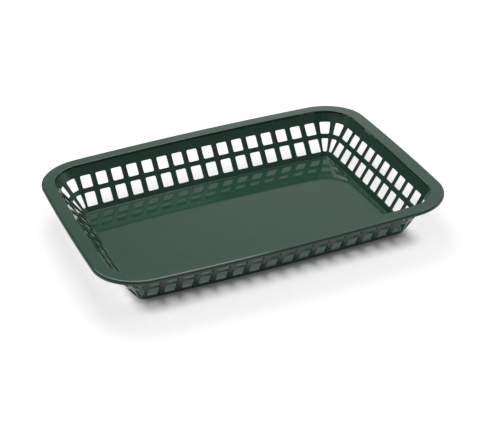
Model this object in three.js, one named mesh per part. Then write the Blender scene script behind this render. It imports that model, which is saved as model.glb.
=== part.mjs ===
// Serving basket of the kind used for fast food: a shallow tray moulded in one
// shot of green plastic, with a flat rim, leaning lattice walls and a plain floor.
// The moulding is divided at its own feature lines, so that the rim, the bands,
// the lattice panels, the curbs and the floor are each a solid with a name.
// Millimetres, +Z up, +X along the basket, origin under the middle of the floor.
import * as THREE from "three";

// Plan of the rim's outer edge
const length = 324;
const width = 243.4;
const longSideBow = 3.3; // swell of a long side past its corners
const shortSideBow = 1;
const rimCornerRadius = 43.6;

// Rim: flat top, rounded outer edge and a lip that turns down
const rimWidth = 12.6; // outer edge to the step inside
const rimThickness = 1.8;
const rimEdgeRadius = 2;
const lipHeight = 3.4; // top of the rim to the lower edge of the lip
const lipThickness = 1.8;

// Upright step from the rim down to the wall
const stepHeight = 2.2;

// Wall, whose heights run along its slope, from the step down to the cove
const wallLean = THREE.MathUtils.degToRad(34.2); // from upright
const wallThickness = 1.6;
const upperBandHeight = 9;
const upperOpeningHeight = 11.7;
const midRailHeight = 4.6;
const lowerOpeningHeight = 13;
const curbHeight = 4.8; // sill of the lower openings to the cove

// Floor, and the cove that joins it to the wall
const floorThickness = 1.2;
const coveRadius = 1.2; // inside face
const floorCornerRadius = 4.8; // plan of the flat floor

// Lattice
const openingPitch = 15.1;
const longSideRibWidth = 5.1;
const shortSideRibWidth = 3.6;
const cornerRibWidth = 4;
const cornerOpenings = 2;

// Clearance left where two named solids meet
const seam = 0.2;

// Facets of the round stretches
const sideFacets = 8;
const rimCornerFacets = 10;
const rimEdgeFacets = 4;
const coveFacets = 4;
const cornerOpeningFacets = 3;
const cornerRibHalves = 2;

// Heights and insets that follow from the sizes above
const slopeOut = Math.sin(wallLean);
const slopeDown = Math.cos(wallLean);
const coveTurn = Math.PI / 2 - wallLean;
const coveTangent = coveRadius * Math.tan(coveTurn / 2);
const sillDown = upperBandHeight + upperOpeningHeight + midRailHeight + lowerOpeningHeight;
const wallHeight = sillDown + curbHeight + coveTangent; // down to the plane of the floor
const height = floorThickness + wallHeight * slopeDown + stepHeight;
const wallTop = height - stepHeight;
const floorInset = rimWidth + wallHeight * slopeOut + coveTangent;
const bend = wallThickness * Math.tan(wallLean / 2); // drop of the bend's outer corner

const plastic = {
  color: 0x214135,
  roughness: 0.1,
  metalness: 0,
};

// The plan outline at an inset from the rim's outer edge: eight arcs that meet
// at tangents, the sides with long radii and the corners with short ones.
function outlineAt(inset) {
  const halfLength = length / 2 - inset;
  const halfWidth = width / 2 - inset;
  const radius = THREE.MathUtils.lerp(rimCornerRadius, floorCornerRadius, inset / floorInset);
  const cornerX = halfLength - shortSideBow - radius;
  const cornerY = halfWidth - longSideBow - radius;
  const sideRadius = (along, bow) =>
    (along * along + bow * bow + 2 * bow * radius) / (2 * bow);
  const longRadius = sideRadius(cornerX, longSideBow);
  const shortRadius = sideRadius(cornerY, shortSideBow);
  const longTurn = Math.asin(cornerX / (longRadius - radius));
  const shortTurn = Math.asin(cornerY / (shortRadius - radius));
  const right = 0;
  const back = Math.PI / 2;
  const left = Math.PI;
  const front = 1.5 * Math.PI;
  const arc = (x, y, arcRadius, from, to) => ({ x, y, radius: arcRadius, from, to });
  const shortX = halfLength - shortRadius;
  const longY = halfWidth - longRadius;
  return {
    right: arc(shortX, 0, shortRadius, right - shortTurn, right + shortTurn),
    back_right: arc(cornerX, cornerY, radius, right + shortTurn, back - longTurn),
    back: arc(0, longY, longRadius, back - longTurn, back + longTurn),
    back_left: arc(-cornerX, cornerY, radius, back + longTurn, left - shortTurn),
    left: arc(-shortX, 0, shortRadius, left - shortTurn, left + shortTurn),
    front_left: arc(-cornerX, -cornerY, radius, left + shortTurn, front - longTurn),
    front: arc(0, -longY, longRadius, front - longTurn, front + longTurn),
    front_right: arc(cornerX, -cornerY, radius, front + longTurn, right + 2 * Math.PI - shortTurn),
  };
}

const stretches = [
  "right",
  "back_right",
  "back",
  "back_left",
  "left",
  "front_left",
  "front",
  "front_right",
];
const isCorner = (stretch) => stretch.includes("_");
const isLongSide = (stretch) => stretch === "back" || stretch === "front";

// A point of the basket: a stretch of the outline, the share of it that is
// passed, an inset and a height.
const outlines = new Map();
function pointAt(station, inset, z) {
  if (!outlines.has(inset)) {
    outlines.set(inset, outlineAt(inset));
  }
  const arc = outlines.get(inset)[station.stretch];
  const angle = THREE.MathUtils.lerp(arc.from, arc.to, station.share);
  return new THREE.Vector3(
    arc.x + arc.radius * Math.cos(angle),
    arc.y + arc.radius * Math.sin(angle),
    z,
  );
}

// The wall's face at a distance down its slope from the step and a depth
// towards the outside.
function wallProfile(down, depth) {
  return {
    inset: rimWidth + down * slopeOut - depth * slopeDown,
    z: wallTop - down * slopeDown - depth * slopeOut,
  };
}

// Collects triangles, and turns them so that the closed body faces out.
function closedGeometry(triangles) {
  const twist = new THREE.Vector3();
  const volume = triangles.reduce(
    (sum, [a, b, c]) => sum + a.dot(twist.crossVectors(b, c)),
    0,
  );
  const corners = triangles.flatMap(([a, b, c]) => (volume < 0 ? [a, c, b] : [a, b, c]));
  return new THREE.BufferGeometry().setFromPoints(corners);
}

function quad(triangles, a, b, c, d) {
  triangles.push([a, b, c], [a, c, d]);
}

// A profile in inset and height, swept along a list of stations: a ring, or a
// stretch with flat ends.
function sweptGeometry(stations, drawnProfile, isRing) {
  const drawn = drawnProfile.map(({ inset, z }) => new THREE.Vector2(inset, z));
  const flat = THREE.ShapeUtils.isClockWise(drawn) ? drawn.reverse() : drawn;
  const rows = stations.map((station) => flat.map(({ x, y }) => pointAt(station, x, y)));
  const triangles = [];
  const steps = isRing ? rows.length : rows.length - 1;
  for (let i = 0; i < steps; i += 1) {
    const row = rows[i];
    const next = rows[(i + 1) % rows.length];
    for (let j = 0; j < flat.length; j += 1) {
      const k = (j + 1) % flat.length;
      quad(triangles, row[j], row[k], next[k], next[j]);
    }
  }
  if (!isRing) {
    const first = rows[0];
    const last = rows[rows.length - 1];
    for (const [a, b, c] of THREE.ShapeUtils.triangulateShape(flat, [])) {
      triangles.push([first[c], first[b], first[a]]);
      triangles.push([last[a], last[b], last[c]]);
    }
  }
  return closedGeometry(triangles);
}

// Stations all round, evenly spaced on each stretch, for the rim.
function ringStations() {
  return stretches.flatMap((stretch) => {
    const facets = isCorner(stretch) ? rimCornerFacets : sideFacets;
    return Array.from({ length: facets }, (_, i) => ({ stretch, share: i / facets }));
  });
}

function ribWidthOf(stretch) {
  if (isCorner(stretch)) {
    return cornerRibWidth;
  }
  return isLongSide(stretch) ? longSideRibWidth : shortSideRibWidth;
}

// The lattice's columns on one stretch, as shares of it: openings and ribs by
// turns. A side starts and ends with an opening, a corner with a rib.
function columnsOf(stretch) {
  const midInset = wallProfile(upperBandHeight + upperOpeningHeight, 0).inset;
  const arc = outlineAt(midInset)[stretch];
  const around = arc.radius * (arc.to - arc.from);
  const ribShare = ribWidthOf(stretch) / around;
  const openings = isCorner(stretch)
    ? cornerOpenings
    : Math.round((1 + ribShare) / (openingPitch / around));
  const ribs = isCorner(stretch) ? openings + 1 : openings - 1;
  const openingShare = (1 - ribs * ribShare) / openings;
  const columns = [];
  let share = 0;
  for (let i = 0; i < openings + ribs; i += 1) {
    const isRib = (i % 2 === 0) === isCorner(stretch);
    const end = share + (isRib ? ribShare : openingShare);
    columns.push({ stretch, isRib, from: share, to: end });
    share = end;
  }
  return columns;
}

// Splits a column where a cut runs down its middle, and where it is round.
function facetColumn({ stretch, isRib, from, to }) {
  let facets = 1;
  if (isCorner(stretch)) {
    facets = isRib ? cornerRibHalves : cornerOpeningFacets;
  }
  return Array.from({ length: facets }, (_, i) => ({
    stretch,
    isRib,
    from: THREE.MathUtils.lerp(from, to, i / facets),
    to: THREE.MathUtils.lerp(from, to, (i + 1) / facets),
  }));
}

// A plain strip's columns on a side, where nothing but its bow bends it.
function plainColumns(stretch) {
  return Array.from({ length: sideFacets }, (_, i) => ({
    stretch,
    from: i / sideFacets,
    to: (i + 1) / sideFacets,
  }));
}

// The wall is cut into panels down the middle of each corner's first and last
// rib, so a side panel ends in half a rib on the corners beside it.
function panelColumns(stretch, sideColumns) {
  if (isCorner(stretch)) {
    return columnsOf(stretch).flatMap(facetColumn).slice(1, -1);
  }
  const own = sideColumns(stretch);
  const place = stretches.indexOf(stretch);
  const before = stretches[(place + stretches.length - 1) % stretches.length];
  const after = stretches[(place + 1) % stretches.length];
  const lastHalf = columnsOf(before).flatMap(facetColumn).slice(-1);
  const firstHalf = columnsOf(after).flatMap(facetColumn).slice(0, 1);
  return [...lastHalf, ...own, ...firstHalf];
}

// A panel's stations, drawn back by half the seam at both ends.
function panelStations(columns) {
  const stations = columns.map(({ stretch, from }) => ({ stretch, share: from }));
  const end = columns[columns.length - 1];
  stations.push({ stretch: end.stretch, share: end.to });
  const outline = outlineAt(wallProfile(sillDown, 0).inset);
  const seamShare = ({ stretch }) => {
    const arc = outline[stretch];
    return seam / 2 / (arc.radius * (arc.to - arc.from));
  };
  stations[0].share += seamShare(stations[0]);
  stations[stations.length - 1].share -= seamShare(end);
  return stations;
}

// Rim lip: the rounded outer edge and the skirt that hangs from it.
function rimLipProfile() {
  const edge = Array.from({ length: rimEdgeFacets + 1 }, (_, i) => {
    const turn = (Math.PI / 2) * (i / rimEdgeFacets);
    return {
      inset: rimEdgeRadius * (1 - Math.cos(turn)),
      z: height - rimEdgeRadius * (1 - Math.sin(turn)),
    };
  });
  const root = rimEdgeRadius + lipThickness;
  return [
    { inset: 0, z: height - lipHeight },
    ...edge,
    { inset: root, z: height },
    { inset: root, z: height - rimThickness },
    { inset: lipThickness, z: height - rimThickness },
    { inset: lipThickness, z: height - lipHeight },
  ];
}

// Rim flange: the flat ring inside the rounded edge, and the step that turns
// down from it to the bend where the wall starts.
function rimFlangeProfile() {
  const outer = rimEdgeRadius + lipThickness + seam;
  const stepOutside = rimWidth - wallThickness;
  return [
    { inset: outer, z: height },
    { inset: rimWidth, z: height },
    { inset: rimWidth, z: wallTop + seam / 2 },
    { inset: stepOutside, z: wallTop - bend + seam / 2 },
    { inset: stepOutside, z: height - rimThickness },
    { inset: outer, z: height - rimThickness },
  ];
}

// Upper band: the plain strip of wall between the step and the openings.
function upperBandProfile() {
  const start = seam / 2;
  const end = upperBandHeight - seam / 2;
  return [
    wallProfile(start, 0),
    wallProfile(end, 0),
    wallProfile(end, wallThickness),
    wallProfile(start - bend, wallThickness),
  ];
}

// Curb: the sill under the lower openings and the cove that turns it into the floor.
function curbProfile() {
  const start = sillDown + seam / 2;
  const arcAt = (radius, turn) => ({
    inset: floorInset - radius * Math.sin(turn),
    z: floorThickness + coveRadius - radius * Math.cos(turn),
  });
  const turns = Array.from({ length: coveFacets + 1 }, (_, i) => (coveTurn * i) / coveFacets);
  const inner = turns.map((turn) => arcAt(coveRadius, turn));
  const outer = turns.map((turn) => arcAt(coveRadius + floorThickness, turn));
  return [
    wallProfile(start, 0),
    ...inner.reverse(),
    ...outer,
    wallProfile(start, wallThickness),
  ];
}

// Lattice panel: ribs that cross the mid rail, between the upper band and the curb.
function latticeGeometry(columns) {
  const stations = panelStations(columns);
  const top = upperBandHeight + seam / 2;
  const railTop = upperBandHeight + upperOpeningHeight;
  const railFoot = railTop + midRailHeight;
  const foot = sillDown - seam / 2;
  const levels = [top, railTop, railFoot, foot];
  const face = (depth) =>
    stations.map((station) =>
      levels.map((down) => {
        const { inset, z } = wallProfile(down, depth);
        return pointAt(station, inset, z);
      }),
    );
  const inner = face(0);
  const outer = face(wallThickness);
  const rows = levels.length - 1;
  const railRow = 1;
  const isSolid = (i, j) =>
    i >= 0 && i < columns.length && j >= 0 && j < rows && (j === railRow || columns[i].isRib);
  const triangles = [];
  const edge = (i, j, k, l) =>
    quad(triangles, inner[i][j], inner[k][l], outer[k][l], outer[i][j]);
  for (let i = 0; i < columns.length; i += 1) {
    for (let j = 0; j < rows; j += 1) {
      if (!isSolid(i, j)) {
        continue;
      }
      quad(triangles, inner[i][j], inner[i][j + 1], inner[i + 1][j + 1], inner[i + 1][j]);
      quad(triangles, outer[i][j], outer[i + 1][j], outer[i + 1][j + 1], outer[i][j + 1]);
      if (!isSolid(i - 1, j)) {
        edge(i, j + 1, i, j);
      }
      if (!isSolid(i + 1, j)) {
        edge(i + 1, j, i + 1, j + 1);
      }
      if (!isSolid(i, j - 1)) {
        edge(i, j, i + 1, j);
      }
      if (!isSolid(i, j + 1)) {
        edge(i + 1, j + 1, i, j + 1);
      }
    }
  }
  return closedGeometry(triangles);
}

// Floor: a plain plate out to the foot of the cove.
function floorGeometry() {
  const edge = ringStations().map((station) => pointAt(station, floorInset + seam, 0));
  const shape = new THREE.Shape(edge.map(({ x, y }) => new THREE.Vector2(x, y)));
  return new THREE.ExtrudeGeometry(shape, { depth: floorThickness, bevelEnabled: false });
}

const basket = new THREE.Group();
basket.name = "serving_basket";

function addPiece(name, geometry) {
  const mesh = new THREE.Mesh(geometry, new THREE.MeshStandardMaterial(plastic));
  mesh.name = name;
  basket.add(mesh);
}

addPiece("rim_lip", sweptGeometry(ringStations(), rimLipProfile(), true));
addPiece("rim_flange", sweptGeometry(ringStations(), rimFlangeProfile(), true));
for (const stretch of stretches) {
  const place = isCorner(stretch) ? stretch + "_corner" : stretch;
  const stations = panelStations(panelColumns(stretch, plainColumns));
  addPiece(place + "_upper_band", sweptGeometry(stations, upperBandProfile(), false));
  addPiece(place + "_lattice", latticeGeometry(panelColumns(stretch, columnsOf)));
  addPiece(place + "_curb", sweptGeometry(stations, curbProfile(), false));
}
addPiece("floor_panel", floorGeometry());

export default basket;
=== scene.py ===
"""Looks of the serving basket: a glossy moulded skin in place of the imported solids, a pale studio and
the camera. The basket and the camera are given in millimetres, the material and the studio in metres."""

import math

import bmesh
import bpy
from mathutils import Matrix, Vector


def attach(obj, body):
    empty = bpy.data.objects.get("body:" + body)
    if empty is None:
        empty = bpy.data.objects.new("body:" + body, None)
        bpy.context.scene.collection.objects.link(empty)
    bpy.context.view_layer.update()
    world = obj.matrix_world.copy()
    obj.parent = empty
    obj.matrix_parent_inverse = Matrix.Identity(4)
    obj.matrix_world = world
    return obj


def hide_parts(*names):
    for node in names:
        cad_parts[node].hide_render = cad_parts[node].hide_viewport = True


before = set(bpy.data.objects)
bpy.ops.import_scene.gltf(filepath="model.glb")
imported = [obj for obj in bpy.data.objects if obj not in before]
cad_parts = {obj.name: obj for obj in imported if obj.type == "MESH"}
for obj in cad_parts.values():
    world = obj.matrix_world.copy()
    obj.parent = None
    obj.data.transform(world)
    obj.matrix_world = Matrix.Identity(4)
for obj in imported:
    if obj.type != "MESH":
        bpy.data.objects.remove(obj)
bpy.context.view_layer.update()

MM = 0.001
QUARTER_TURN = math.pi / 2
EIGHTH_TURN = math.pi / 4

# Plan of the rim's outer edge
LENGTH = 324.0
WIDTH = 243.4
LONG_SIDE_BOW = 3.3
SHORT_SIDE_BOW = 1.0
RIM_CORNER_RADIUS = 43.6

# Rim
RIM_WIDTH = 12.6
RIM_THICKNESS = 1.8
RIM_EDGE_RADIUS = 2.0
LIP_HEIGHT = 3.4
LIP_THICKNESS = 1.8

# Upright step from the rim down to the wall
STEP_HEIGHT = 2.2

# Wall, whose heights run along its slope
WALL_LEAN = math.radians(34.2)
WALL_THICKNESS = 1.6
UPPER_BAND_HEIGHT = 9.0
UPPER_OPENING_HEIGHT = 11.7
MID_RAIL_HEIGHT = 4.6
LOWER_OPENING_HEIGHT = 13.0
CURB_HEIGHT = 5.17

# Floor and cove
FLOOR_THICKNESS = 1.2
COVE_RADIUS = 0.5
FLOOR_CORNER_RADIUS = 4.8

# Lattice
OPENING_PITCH = 15.1
LONG_SIDE_RIB_WIDTH = 5.1
SHORT_SIDE_RIB_WIDTH = 3.6
CORNER_RIB_WIDTH = 4.0
CORNER_OPENINGS = 2

# Rounding of the moulded edges
OPENING_CORNER_RADIUS = 1.2
OPENING_EDGE_RADIUS = 0.2
STEP_FOOT_RADIUS = 0.8
RIM_INNER_RADIUS = 0.6
UNDER_RIM_RADIUS = 0.4
LIP_EDGE_RADIUS = 0.5
LIP_ROOT_RADIUS = 0.6

# Fineness of the mesh
HALF_CORNER_STEPS = 2
SIDE_STEPS = 1
ROUND_STEPS = 5
EDGE_STEPS = 3
RIM_EDGE_STEPS = 8
COVE_STEPS = 6
FLOOR_RINGS = 8

# Decimals of a millimetre to which two points agree when they are one
MERGE_DIGITS = 4

# Heights and insets that follow
SLOPE_OUT = math.sin(WALL_LEAN)
SLOPE_DOWN = math.cos(WALL_LEAN)
COVE_TURN = QUARTER_TURN - WALL_LEAN
COVE_TANGENT = COVE_RADIUS * math.tan(COVE_TURN / 2)
BAND_DOWN = UPPER_BAND_HEIGHT - MID_RAIL_HEIGHT / 2
MID_RAIL_DOWN = UPPER_BAND_HEIGHT + UPPER_OPENING_HEIGHT
RAIL_MIDDLE = MID_RAIL_DOWN + MID_RAIL_HEIGHT / 2
LOWER_OPENING_DOWN = MID_RAIL_DOWN + MID_RAIL_HEIGHT
SILL_DOWN = LOWER_OPENING_DOWN + LOWER_OPENING_HEIGHT
COVE_DOWN = SILL_DOWN + CURB_HEIGHT
WALL_HEIGHT = COVE_DOWN + COVE_TANGENT
HEIGHT = FLOOR_THICKNESS + WALL_HEIGHT * SLOPE_DOWN + STEP_HEIGHT
WALL_TOP = HEIGHT - STEP_HEIGHT
FLOOR_INSET = RIM_WIDTH + WALL_HEIGHT * SLOPE_OUT + COVE_TANGENT

# Cells of the two rows, down the slope: top, opening's top, opening's bottom, bottom
UPPER_CELL = (BAND_DOWN, UPPER_BAND_HEIGHT, MID_RAIL_DOWN, RAIL_MIDDLE)
LOWER_CELL = (RAIL_MIDDLE, LOWER_OPENING_DOWN, SILL_DOWN, COVE_DOWN)

# Stretches of wall round the ring, four sides and four corners
STRETCHES = ("right", "back_right", "back", "back_left", "left", "front_left", "front", "front_right")
RING = len(STRETCHES)


def is_corner(stretch):
    return "_" in STRETCHES[stretch]


def is_long_side(stretch):
    return STRETCHES[stretch] in ("back", "front")


def place_name(stretch):
    return STRETCHES[stretch] + ("_corner" if is_corner(stretch) else "")


def wall_name(stretch):
    return place_name(stretch) + "_wall"


def wall_nodes(stretch):
    """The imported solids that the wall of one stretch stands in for."""
    return [place_name(stretch) + region for region in ("_upper_band", "_lattice", "_curb")]


def mix(start, end, share):
    return start + (end - start) * share


# Plan: eight tangent arcs at an inset from the rim's outer edge

outlines = {}


def outline(inset):
    """The arcs (x, y, radius, start, end) of the plan at this inset."""
    if inset in outlines:
        return outlines[inset]
    half_length = LENGTH / 2 - inset
    half_width = WIDTH / 2 - inset
    radius = mix(RIM_CORNER_RADIUS, FLOOR_CORNER_RADIUS, inset / FLOOR_INSET)
    corner_x = half_length - SHORT_SIDE_BOW - radius
    corner_y = half_width - LONG_SIDE_BOW - radius

    def side_radius(along, bow):
        return (along * along + bow * bow + 2 * bow * radius) / (2 * bow)

    long_radius = side_radius(corner_x, LONG_SIDE_BOW)
    short_radius = side_radius(corner_y, SHORT_SIDE_BOW)
    long_turn = math.asin(corner_x / (long_radius - radius))
    short_turn = math.asin(corner_y / (short_radius - radius))
    arcs = []
    for side in range(4):
        along_x = side % 2 == 0
        sign = 1 if side < 2 else -1
        turn = short_turn if along_x else long_turn
        next_turn = long_turn if along_x else short_turn
        bend = short_radius if along_x else long_radius
        centre = sign * ((half_length if along_x else half_width) - bend)
        centre_x, centre_y = (centre, 0) if along_x else (0, centre)
        middle = side * QUARTER_TURN
        arcs.append((centre_x, centre_y, bend, middle - turn, middle + turn))
        corner_sign_x = 1 if side in (0, 3) else -1
        corner_sign_y = 1 if side in (0, 1) else -1
        start = middle + turn
        end = middle + QUARTER_TURN - next_turn
        arcs.append((corner_sign_x * corner_x, corner_sign_y * corner_y, radius, start, end))
    outlines[inset] = arcs
    return arcs


def point(place, inset, z):
    """A point at a place round the ring, where each stretch counts as 1."""
    stretch = math.floor(place)
    x, y, radius, start, end = outline(inset)[stretch % RING]
    angle = mix(start, end, place - stretch)
    return (x + radius * math.cos(angle), y + radius * math.sin(angle), z)


def reach(place, inset):
    """Millimetres round the ring for 1 of place."""
    _, _, radius, start, end = outline(inset)[math.floor(place) % RING]
    return radius * (end - start)


def wall(down, depth):
    """Inset and height on the wall, down its slope from the step and outward in depth."""
    inset = RIM_WIDTH + down * SLOPE_OUT - depth * SLOPE_DOWN
    return inset, WALL_TOP - down * SLOPE_DOWN - depth * SLOPE_OUT


# Lattice: columns of openings round the ring, each with half a rib on either side


def column_places(stretch):
    """The places where the openings of one stretch start and end."""
    mid_inset, _ = wall(MID_RAIL_DOWN, 0)
    around = reach(stretch, mid_inset)
    if is_corner(stretch):
        rib = CORNER_RIB_WIDTH / around
        count = CORNER_OPENINGS
        opening = (1 - (count + 1) * rib) / count
        first = rib
    else:
        rib = (LONG_SIDE_RIB_WIDTH if is_long_side(stretch) else SHORT_SIDE_RIB_WIDTH) / around
        count = round((1 + rib) / (OPENING_PITCH / around))
        opening = (1 - (count - 1) * rib) / count
        first = 0
    starts = [stretch + first + i * (opening + rib) for i in range(count)]
    return [(start, start + opening) for start in starts]


def lattice_columns():
    """Each opening's column: stretch, middle of the rib before, start, end, middle of the rib after."""
    openings = []
    for stretch in range(RING):
        openings += [(stretch, start, end) for start, end in column_places(stretch)]
    columns = []
    for i, (stretch, start, end) in enumerate(openings):
        before = openings[i - 1][2] - (RING if i == 0 else 0)
        after = openings[(i + 1) % len(openings)][1] + (RING if i + 1 == len(openings) else 0)
        columns.append((stretch, (before + start) / 2, start, end, (end + after) / 2))
    return columns


def edge_stops(low, inner_low, inner_high, high, steps):
    """Stops along one edge of a cell: half a corner, the straight, half a corner."""
    stops = [mix(low, inner_low, i / HALF_CORNER_STEPS) for i in range(HALF_CORNER_STEPS)]
    stops += [mix(inner_low, inner_high, i / steps) for i in range(steps)]
    stops += [mix(inner_high, high, i / HALF_CORNER_STEPS) for i in range(HALF_CORNER_STEPS + 1)]
    return stops


def down_stops(top, opening_top, opening_bottom, bottom):
    """Stops down one side of a cell."""
    corner = OPENING_CORNER_RADIUS
    return edge_stops(top, opening_top + corner, opening_bottom - corner, bottom, SIDE_STEPS)


class Column:
    """One column of the lattice, with the stops at which everything above and below it is cut too."""

    def __init__(self, stretch, before, start, end, after):
        self.stretch = stretch
        self.start = start
        self.end = end
        self.steps = ROUND_STEPS if is_corner(stretch) else SIDE_STEPS
        inset, _ = wall(MID_RAIL_DOWN, 0)
        corner = (OPENING_CORNER_RADIUS + OPENING_EDGE_RADIUS) / reach((start + end) / 2, inset)
        self.stops = edge_stops(before, start + corner, end - corner, after, self.steps)

    def cell_loop(self, top, opening_top, opening_bottom, bottom):
        """The cell's outline as (place, down), clockwise from its first corner."""
        downs = down_stops(top, opening_top, opening_bottom, bottom)
        loop = [(place, top) for place in self.stops[:-1]]
        loop += [(self.stops[-1], down) for down in downs[:-1]]
        loop += [(place, bottom) for place in self.stops[:0:-1]]
        loop += [(self.stops[0], down) for down in downs[:0:-1]]
        return loop

    def opening_loop(self, top, bottom, offset, depth):
        """The opening's rounded outline, grown by an offset, as (place, down)."""
        radius = OPENING_CORNER_RADIUS + offset
        middle = (self.start + self.end) / 2

        def corner_point(place_edge, side, down_edge, way, turn):
            down = down_edge + way * (radius - radius * math.sin(turn))
            across = reach(middle, wall(down, depth)[0])
            return place_edge - side * (offset - radius + radius * math.cos(turn)) / across, down

        def arc(place_edge, side, down_edge, way, start, stop):
            turns = [mix(start, stop, i / HALF_CORNER_STEPS) for i in range(HALF_CORNER_STEPS + 1)]
            return [corner_point(place_edge, side, down_edge, way, turn) for turn in turns]

        high = top - offset
        low = bottom + offset
        first = self.start
        last = self.end
        edges = [
            (
                arc(first, 1, high, 1, EIGHTH_TURN, QUARTER_TURN),
                arc(last, -1, high, 1, QUARTER_TURN, EIGHTH_TURN),
                self.steps,
            ),
            (
                arc(last, -1, high, 1, EIGHTH_TURN, 0),
                arc(last, -1, low, -1, 0, EIGHTH_TURN),
                SIDE_STEPS,
            ),
            (
                arc(last, -1, low, -1, EIGHTH_TURN, QUARTER_TURN),
                arc(first, 1, low, -1, QUARTER_TURN, EIGHTH_TURN),
                self.steps,
            ),
            (
                arc(first, 1, low, -1, EIGHTH_TURN, 0),
                arc(first, 1, high, 1, 0, EIGHTH_TURN),
                SIDE_STEPS,
            ),
        ]
        loop = []
        for leaving, arriving, steps in edges:
            loop += leaving
            place, down = leaving[-1]
            next_place, next_down = arriving[0]
            for i in range(1, steps):
                loop.append((mix(place, next_place, i / steps), mix(down, next_down, i / steps)))
            loop += arriving[:-1]
        return loop


# Profiles of the rim, the band and the foot, as (inset, z)


def rounded(corner, before, after, radius, steps):
    """Points of a fillet at a corner between two neighbouring points of a profile."""
    to_before = (Vector(before) - Vector(corner)).normalized()
    to_after = (Vector(after) - Vector(corner)).normalized()
    half = to_before.angle(to_after) / 2
    tangent = radius / math.tan(half)
    centre = Vector(corner) + (to_before + to_after).normalized() * (radius / math.sin(half))
    start = Vector(corner) + to_before * tangent - centre
    end = Vector(corner) + to_after * tangent - centre
    turn = start.angle(end)
    points = []
    for i in range(steps + 1):
        share = i / steps
        spoke = (start * math.sin((1 - share) * turn) + end * math.sin(share * turn)) / math.sin(turn)
        points.append(tuple(centre + spoke))
    return points


def filleted(corners):
    """A profile from corners (inset, z, radius, steps): sharp where the radius is 0."""
    points = []
    for i, (inset, z, radius, steps) in enumerate(corners):
        if radius == 0:
            points.append((inset, z))
            continue
        points += rounded((inset, z), corners[i - 1][:2], corners[i + 1][:2], radius, steps)
    return points


BEND_DROP = WALL_THICKNESS * math.tan(WALL_LEAN / 2)
STEP_OUTSIDE = RIM_WIDTH - WALL_THICKNESS

inner_band = filleted([
    (*wall(BAND_DOWN, 0), 0, 0),
    (RIM_WIDTH, WALL_TOP, STEP_FOOT_RADIUS, EDGE_STEPS),
    (RIM_WIDTH, HEIGHT, 0, 0),
])[:-1]
rim_section = [inner_band[-1]] + filleted([
    (RIM_WIDTH, WALL_TOP, 0, 0),
    (RIM_WIDTH, HEIGHT, RIM_INNER_RADIUS, EDGE_STEPS),
    (0, HEIGHT, RIM_EDGE_RADIUS, RIM_EDGE_STEPS),
    (0, HEIGHT - LIP_HEIGHT, LIP_EDGE_RADIUS, EDGE_STEPS),
    (LIP_THICKNESS, HEIGHT - LIP_HEIGHT, LIP_EDGE_RADIUS, EDGE_STEPS),
    (LIP_THICKNESS, HEIGHT - RIM_THICKNESS, LIP_ROOT_RADIUS, EDGE_STEPS),
    (STEP_OUTSIDE, HEIGHT - RIM_THICKNESS, UNDER_RIM_RADIUS, EDGE_STEPS),
    (STEP_OUTSIDE, WALL_TOP - BEND_DROP, 0, 0),
])[1:-1]
outer_band = [rim_section[-1]] + filleted([
    (STEP_OUTSIDE, HEIGHT - RIM_THICKNESS, 0, 0),
    (STEP_OUTSIDE, WALL_TOP - BEND_DROP, STEP_FOOT_RADIUS, EDGE_STEPS),
    (*wall(BAND_DOWN, WALL_THICKNESS), 0, 0),
])[1:]


def cove(radius):
    """From the wall to the edge of the flat floor, on the face with this radius."""
    turns = [COVE_TURN * (1 - i / COVE_STEPS) for i in range(COVE_STEPS + 1)]
    middle = FLOOR_THICKNESS + COVE_RADIUS
    return [(FLOOR_INSET - radius * math.sin(turn), middle - radius * math.cos(turn)) for turn in turns]


inner_foot = cove(COVE_RADIUS)
outer_foot = cove(COVE_RADIUS + FLOOR_THICKNESS)


class Skin:
    """The closed surface of the whole moulding, kept as faces under the names of its pieces."""

    def __init__(self):
        self.index = {}
        self.points = []
        self.faces = {}
        self.caps = {}

    def vertex(self, place):
        key = tuple(round(value, MERGE_DIGITS) for value in place)
        if key not in self.index:
            self.index[key] = len(self.points)
            self.points.append(place)
        return self.index[key]

    def face(self, piece, corners, is_cap=False):
        ids = []
        for corner in corners:
            number = self.vertex(corner)
            if number not in ids:
                ids.append(number)
        if len(ids) > 2:
            (self.caps if is_cap else self.faces).setdefault(piece, []).append(ids)

    def strip(self, piece, first, second, is_ring=False, is_cap=False):
        """Quads between two rows of points."""
        count = len(first) if is_ring else len(first) - 1
        for i in range(count):
            after = (i + 1) % len(first)
            self.face(piece, [first[i], first[after], second[after], second[i]], is_cap)


skin = Skin()


def sweep(piece, profile, stops):
    """A profile drawn along the stops of one column."""
    rows = [[point(stop, inset, z) for stop in stops] for inset, z in profile]
    for i in range(len(rows) - 1):
        skin.strip(piece, rows[i], rows[i + 1])
    return rows


def add_cell(piece, column, top, opening_top, opening_bottom, bottom):
    """An opening with rounded edges, in the wall between two levels."""
    radius = OPENING_EDGE_RADIUS
    turns = [QUARTER_TURN * i / EDGE_STEPS for i in range(EDGE_STEPS + 1)]
    edge = [(radius * (1 - math.sin(turn)), radius * (1 - math.cos(turn))) for turn in turns]
    through = edge + [(offset, WALL_THICKNESS - depth) for offset, depth in reversed(edge)]
    cell = column.cell_loop(top, opening_top, opening_bottom, bottom)
    rows = [[point(place, *wall(down, 0)) for place, down in cell]]
    for offset, depth in through:
        loop = column.opening_loop(opening_top, opening_bottom, offset, depth)
        rows.append([point(place, *wall(down, depth)) for place, down in loop])
    rows.append([point(place, *wall(down, WALL_THICKNESS)) for place, down in cell])
    for i in range(len(rows) - 1):
        skin.strip(piece, rows[i], rows[i + 1], is_ring=True)


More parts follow.
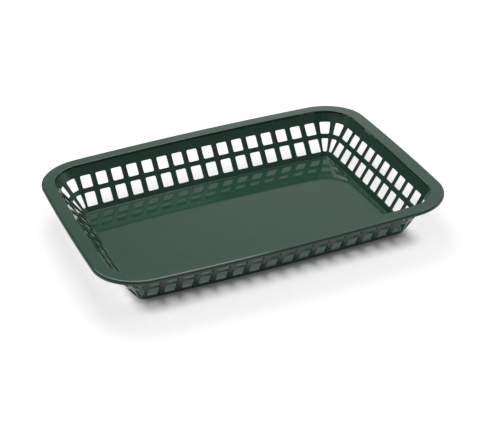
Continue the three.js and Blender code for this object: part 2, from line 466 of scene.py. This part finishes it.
def end_cap(piece, place):
    """The flat end of a wall, down the middle of a rib."""
    downs = down_stops(*UPPER_CELL) + down_stops(*LOWER_CELL)[1:]
    inner_face = [wall(down, 0) for down in downs[:-1]]
    outer_face = [wall(down, WALL_THICKNESS) for down in downs[::-1]]
    inner = inner_band[:0:-1] + inner_face + inner_foot
    outer = outer_foot[::-1] + outer_face + outer_band[-2:0:-1]
    skin.face(piece, [point(place, inset, z) for inset, z in inner + outer], is_cap=True)


def build_skin():
    """All pieces: the rim, a wall for each stretch and the floor."""
    columns = [Column(*values) for values in lattice_columns()]
    floor_edges = {"top": [], "bottom": []}
    seam_spots = (rim_section[0], rim_section[-1])
    for number, column in enumerate(columns):
        piece = wall_name(column.stretch)
        stops = column.stops
        sweep(piece, inner_band, stops)
        sweep("rim", rim_section, stops)
        sweep(piece, outer_band, stops)
        inner_rows = sweep(piece, inner_foot, stops)
        outer_rows = sweep(piece, outer_foot, stops)
        add_cell(piece, column, *UPPER_CELL)
        add_cell(piece, column, *LOWER_CELL)
        top_seam = [[point(stop, *spot) for stop in stops] for spot in seam_spots]
        skin.strip("rim", *top_seam, is_cap=True)
        skin.strip(piece, *top_seam, is_cap=True)
        skin.strip("floor", inner_rows[-1], outer_rows[-1], is_cap=True)
        skin.strip(piece, inner_rows[-1], outer_rows[-1], is_cap=True)
        floor_edges["top"] += inner_rows[-1][:-1]
        floor_edges["bottom"] += outer_rows[-1][:-1]
        if columns[number - 1].stretch != column.stretch:
            end_cap(piece, stops[0])
            end_cap(wall_name(columns[number - 1].stretch), stops[0])
    for edge in floor_edges.values():
        add_floor_face(edge)


def add_floor_face(edge):
    """Rings of the flat floor that close on a line along its middle."""
    half_line = LENGTH / 2 - WIDTH / 2
    rows = []
    for i in range(FLOOR_RINGS + 1):
        share = i / FLOOR_RINGS
        row = []
        for x, y, z in edge:
            line_x = max(-half_line, min(half_line, x))
            row.append((mix(x, line_x, share), mix(y, 0, share), z))
        rows.append(row)
    for i in range(FLOOR_RINGS):
        skin.strip("floor", rows[i], rows[i + 1], is_ring=True)


def skin_normals():
    """A smooth normal for each point of the whole skin, in which large faces outweigh small ones."""
    whole = bmesh.new()
    vertices = [whole.verts.new(place) for place in skin.points]
    for faces in skin.faces.values():
        for ids in faces:
            whole.faces.new([vertices[i] for i in ids])
    bmesh.ops.recalc_face_normals(whole, faces=whole.faces[:])
    sums = [Vector() for _ in skin.points]
    whole.verts.index_update()
    for face in whole.faces:
        face.normal_update()
        weight = face.calc_area() ** 2
        for vertex in face.verts:
            sums[vertex.index] += face.normal * weight
    whole.free()
    return [total.normalized() for total in sums]


def make_piece(name, normals, material, replaced):
    """One closed piece of the skin as an object of its own, shaded as the whole skin is."""
    shell = bmesh.new()
    made = {}

    def vertex(number):
        if number not in made:
            made[number] = shell.verts.new(Vector(skin.points[number]) * MM)
        return made[number]

    source = shell.verts.layers.int.new("skin_point")
    cap_mark = shell.faces.layers.int.new("cap")
    for is_cap, faces in enumerate((skin.faces[name], skin.caps[name])):
        for ids in faces:
            face = shell.faces.new([vertex(i) for i in ids])
            face[cap_mark] = is_cap
            face.smooth = True
    for number, item in made.items():
        item[source] = number
    bmesh.ops.recalc_face_normals(shell, faces=shell.faces[:])
    shell.normal_update()
    corner_normals = []
    for face in shell.faces:
        for item in face.verts:
            corner_normals.append(face.normal.copy() if face[cap_mark] else normals[item[source]])
    shell.verts.layers.int.remove(source)
    shell.faces.layers.int.remove(cap_mark)
    mesh = bpy.data.meshes.new(name)
    shell.to_mesh(mesh)
    shell.free()
    mesh.normals_split_custom_set(corner_normals)
    mesh.materials.append(material)
    piece = bpy.data.objects.new(name, mesh)
    bpy.context.scene.collection.objects.link(piece)
    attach(piece, "root")
    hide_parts(*replaced)


# Material, in metres: pigment, gloss and the fine unevenness of the moulded skin

PLASTIC_IOR = 1.5
PIGMENT_NOISE = {"scale": 38.0, "detail": 5.0, "roughness": 0.6}
PIGMENTS = ((0.3, (0.0140, 0.0500, 0.0330, 1)), (0.7, (0.0160, 0.0570, 0.0376, 1)))
GLOSS_NOISE = {"scale": 90.0, "detail": 6.0, "roughness": 0.65}
LEAST_ROUGHNESS = 0.04
MOST_ROUGHNESS = 0.09
PEEL_NOISE = {"scale": 420.0, "detail": 2.0, "roughness": 0.5}
PEEL_STRENGTH = 0.05
PEEL_DEPTH = 0.0002


class Nodes:
    """Short calls for a material's or the world's node tree."""

    def __init__(self, tree):
        self.tree = tree
        tree.nodes.clear()

    def add(self, kind, **values):
        node = self.tree.nodes.new(kind)
        for name, value in values.items():
            if hasattr(node, name):
                setattr(node, name, value)
            else:
                node.inputs[name.replace("_", " ").title()].default_value = value
        return node

    def link(self, source, target):
        self.tree.links.new(source, target)


def new_material(name):
    material = bpy.data.materials.new(name)
    material.use_nodes = True
    return material, Nodes(material.node_tree)


def add_noise(nodes, settings):
    """Noise in the object's own space."""
    place = nodes.add("ShaderNodeTexCoord")
    noise = nodes.add("ShaderNodeTexNoise", **settings)
    nodes.link(place.outputs["Object"], noise.inputs["Vector"])
    return noise.outputs["Fac"]


def moulded_plastic():
    """Glossy green plastic, coloured through, with the faint unevenness of a moulded skin."""
    material, nodes = new_material("green_plastic")
    shader = nodes.add("ShaderNodeBsdfPrincipled")
    shader.inputs["IOR"].default_value = PLASTIC_IOR
    output = nodes.add("ShaderNodeOutputMaterial")
    nodes.link(shader.outputs["BSDF"], output.inputs["Surface"])
    colour = nodes.add("ShaderNodeValToRGB")
    for stop, (position, pigment) in zip(colour.color_ramp.elements, PIGMENTS):
        stop.position = position
        stop.color = pigment
    nodes.link(add_noise(nodes, PIGMENT_NOISE), colour.inputs["Fac"])
    nodes.link(colour.outputs["Color"], shader.inputs["Base Color"])
    gloss = nodes.add("ShaderNodeMapRange")
    gloss.inputs["To Min"].default_value = LEAST_ROUGHNESS
    gloss.inputs["To Max"].default_value = MOST_ROUGHNESS
    nodes.link(add_noise(nodes, GLOSS_NOISE), gloss.inputs["Value"])
    nodes.link(gloss.outputs["Result"], shader.inputs["Roughness"])
    peel = nodes.add("ShaderNodeBump")
    peel.inputs["Strength"].default_value = PEEL_STRENGTH
    peel.inputs["Distance"].default_value = PEEL_DEPTH
    nodes.link(add_noise(nodes, PEEL_NOISE), peel.inputs["Height"])
    nodes.link(peel.outputs["Normal"], shader.inputs["Normal"])
    return material


# Studio, in metres

FLOOR_HALF = 4.0
FLOOR_ALBEDO = 0.4
FLOOR_GLOW = 0.65
FLOOR_DROP = 0.0002

# Painted shadow: a patch under the basket's front wall where the floor's glow is lowered, and the width
# of its soft edge
PAINTED_SHADOW_MIDDLE = (0, -0.045, 0)
PAINTED_SHADOW_HALF = (0.115, 0.045, 1)
PAINTED_SHADOW_FADE = 0.022
PAINTED_SHADOW_GLOW = 0.06

# Height on the sky, where 1 is overhead, and the light from there
SKY = (
    (0.0, 0.05),
    (0.1, 0.08),
    (0.3, 0.5),
    (0.4, 1.05),
    (0.43, 0.9),
    (0.46, 0.62),
    (0.52, 0.6),
    (0.65, 1.4),
    (0.85, 1.6),
    (0.95, 0.5),
)

# Fades of the sky along an axis: where it is dim, where it is full, and the share that is left
FADES = (("Y", -0.7, -0.1, 0.18), ("X", 0.0, 0.36, 0.4))

# Lamps: name, place, where the back faces, width, depth and power
SOFTBOXES = (
    ("overhead_softbox", Vector((-0.04, -0.05, 1.2)), Vector((0, 0, 1)), 0.8, 2.0, 7.5),
    ("back_softbox", Vector((0.05, 0.8, 1.15)), Vector((0.05, 0.8, 1.15)), 0.8, 0.8, 7.5),
)


def seen_rays(nodes):
    """1 for rays that show the background: from the camera, mirrored or through."""
    path = nodes.add("ShaderNodeLightPath")
    first = nodes.add("ShaderNodeMath", operation="MAXIMUM")
    second = nodes.add("ShaderNodeMath", operation="MAXIMUM")
    nodes.link(path.outputs["Is Camera Ray"], first.inputs[0])
    nodes.link(path.outputs["Is Glossy Ray"], first.inputs[1])
    nodes.link(first.outputs["Value"], second.inputs[0])
    nodes.link(path.outputs["Is Transmission Ray"], second.inputs[1])
    return second.outputs["Value"]


def floor_glow_with_painted_shadow(nodes):
    """The glow of the floor, lowered to a painted shadow where the basket's front wall leans over it."""
    place = nodes.add("ShaderNodeTexCoord")
    spot = place.outputs["Object"]
    for operation, other in (
        ("SUBTRACT", PAINTED_SHADOW_MIDDLE),
        ("ABSOLUTE", None),
        ("SUBTRACT", PAINTED_SHADOW_HALF),
        ("MAXIMUM", (0, 0, 0)),
    ):
        step = nodes.add("ShaderNodeVectorMath", operation=operation)
        nodes.link(spot, step.inputs[0])
        if other is not None:
            step.inputs[1].default_value = other
        spot = step.outputs["Vector"]
    away = nodes.add("ShaderNodeVectorMath", operation="LENGTH")
    nodes.link(spot, away.inputs[0])
    # Painted shadow: inside the patch the glow drops to its low value, over a soft edge
    glow = nodes.add("ShaderNodeMapRange", interpolation_type="SMOOTHSTEP")
    glow.inputs["From Max"].default_value = PAINTED_SHADOW_FADE
    glow.inputs["To Min"].default_value = PAINTED_SHADOW_GLOW
    glow.inputs["To Max"].default_value = FLOOR_GLOW
    nodes.link(away.outputs["Value"], glow.inputs["Value"])
    return glow.outputs["Result"]


def add_floor():
    """A pale floor that takes the basket's shadow, and whose glow carries a painted shadow under the
    front wall.
    """
    material, nodes = new_material("studio_floor")
    paper = nodes.add("ShaderNodeBsdfDiffuse")
    paper.inputs["Color"].default_value = (FLOOR_ALBEDO, FLOOR_ALBEDO, FLOOR_ALBEDO, 1)
    glow = nodes.add("ShaderNodeEmission")
    strength = nodes.add("ShaderNodeMath", operation="MULTIPLY")
    nodes.link(seen_rays(nodes), strength.inputs[0])
    nodes.link(floor_glow_with_painted_shadow(nodes), strength.inputs[1])
    nodes.link(strength.outputs["Value"], glow.inputs["Strength"])
    both = nodes.add("ShaderNodeAddShader")
    nodes.link(paper.outputs["BSDF"], both.inputs[0])
    nodes.link(glow.outputs["Emission"], both.inputs[1])
    output = nodes.add("ShaderNodeOutputMaterial")
    nodes.link(both.outputs["Shader"], output.inputs["Surface"])
    mesh = bpy.data.meshes.new("studio_floor")
    signs = ((-1, -1), (1, -1), (1, 1), (-1, 1))
    corners = [(x * FLOOR_HALF, y * FLOOR_HALF, -FLOOR_DROP) for x, y in signs]
    mesh.from_pydata(corners, [], [(0, 1, 2, 3)])
    mesh.materials.append(material)
    floor = bpy.data.objects.new("studio_floor", mesh)
    bpy.context.scene.collection.objects.link(floor)


def add_world():
    """A sky that is bright high up, with a fainter strip below, and dimmer in front and on the left."""
    world = bpy.data.worlds.new("studio")
    world.use_nodes = True
    bpy.context.scene.world = world
    nodes = Nodes(world.node_tree)
    place = nodes.add("ShaderNodeTexCoord")
    axes = nodes.add("ShaderNodeSeparateXYZ")
    nodes.link(place.outputs["Generated"], axes.inputs["Vector"])
    rise = nodes.add("ShaderNodeValToRGB")
    stops = rise.color_ramp.elements
    while len(stops) < len(SKY):
        stops.new(1.0)
    for stop, (height, light) in zip(stops, SKY):
        stop.position = height
        stop.color = (light, light, light, 1)
    nodes.link(axes.outputs["Z"], rise.inputs["Fac"])
    fades = nodes.add("ShaderNodeMath", operation="MULTIPLY")
    for number, (axis, dim, full, share) in enumerate(FADES):
        fade = nodes.add("ShaderNodeMapRange", interpolation_type="SMOOTHSTEP")
        fade.inputs["From Min"].default_value = dim
        fade.inputs["From Max"].default_value = full
        fade.inputs["To Min"].default_value = share
        fade.inputs["To Max"].default_value = 1.0
        nodes.link(axes.outputs[axis], fade.inputs["Value"])
        nodes.link(fade.outputs["Result"], fades.inputs[number])
    around = nodes.add("ShaderNodeBackground")
    nodes.link(rise.outputs["Color"], around.inputs["Color"])
    nodes.link(fades.outputs["Value"], around.inputs["Strength"])
    output = nodes.add("ShaderNodeOutputWorld")
    nodes.link(around.outputs["Background"], output.inputs["Surface"])


def add_softbox(name, place, away, width, depth, power):
    """A rectangular lamp, turned so that its back faces away."""
    light = bpy.data.lights.new(name, "AREA")
    light.shape = "RECTANGLE"
    light.size = width
    light.size_y = depth
    light.energy = power
    lamp = bpy.data.objects.new(name, light)
    lamp.location = place
    lamp.rotation_euler = away.to_track_quat("Z", "Y").to_euler()
    bpy.context.scene.collection.objects.link(lamp)


# Camera: distances in millimetres, the image and the focal length in pixels

IMAGE_WIDTH = 480
CAMERA_TURN = math.radians(-20.12)
CAMERA_RISE = math.radians(29.52)
CAMERA_ROLL = math.radians(-3.597)
CAMERA_DISTANCE = 1329.85
CAMERA_SIDE = -0.749
CAMERA_LIFT = 4.354
CAMERA_TARGET_Z = 2.803
FOCAL_PIXELS = 1465.45
SENSOR_WIDTH = 36.0


def add_camera():
    """A camera that looks down on the basket from the front left, tipped a little to one side."""
    toward = Vector((
        math.sin(CAMERA_TURN) * math.cos(CAMERA_RISE),
        -math.cos(CAMERA_TURN) * math.cos(CAMERA_RISE),
        math.sin(CAMERA_RISE),
    ))
    level_right = Vector((0, 0, 1)).cross(toward).normalized()
    level_up = toward.cross(level_right)
    right = math.cos(CAMERA_ROLL) * level_right + math.sin(CAMERA_ROLL) * level_up
    up = math.cos(CAMERA_ROLL) * level_up - math.sin(CAMERA_ROLL) * level_right
    spot = toward * CAMERA_DISTANCE + right * CAMERA_SIDE + up * CAMERA_LIFT
    spot.z += CAMERA_TARGET_Z
    data = bpy.data.cameras.new("photo_camera")
    data.sensor_width = SENSOR_WIDTH
    data.lens = FOCAL_PIXELS / IMAGE_WIDTH * SENSOR_WIDTH
    camera = bpy.data.objects.new("photo_camera", data)
    turn = Matrix((right, up, toward)).transposed().to_4x4()
    camera.matrix_world = Matrix.Translation(spot * MM) @ turn
    bpy.context.scene.collection.objects.link(camera)
    bpy.context.scene.camera = camera


# The whole scene

bpy.context.scene.view_settings.view_transform = "Standard"
plastic = moulded_plastic()
build_skin()
smooth_normals = skin_normals()
make_piece("rim", smooth_normals, plastic, ["rim_lip", "rim_flange"])
make_piece("floor", smooth_normals, plastic, ["floor_panel"])
for wall_stretch in range(RING):
    make_piece(wall_name(wall_stretch), smooth_normals, plastic, wall_nodes(wall_stretch))
add_floor()
add_world()
for softbox in SOFTBOXES:
    add_softbox(*softbox)
add_camera()
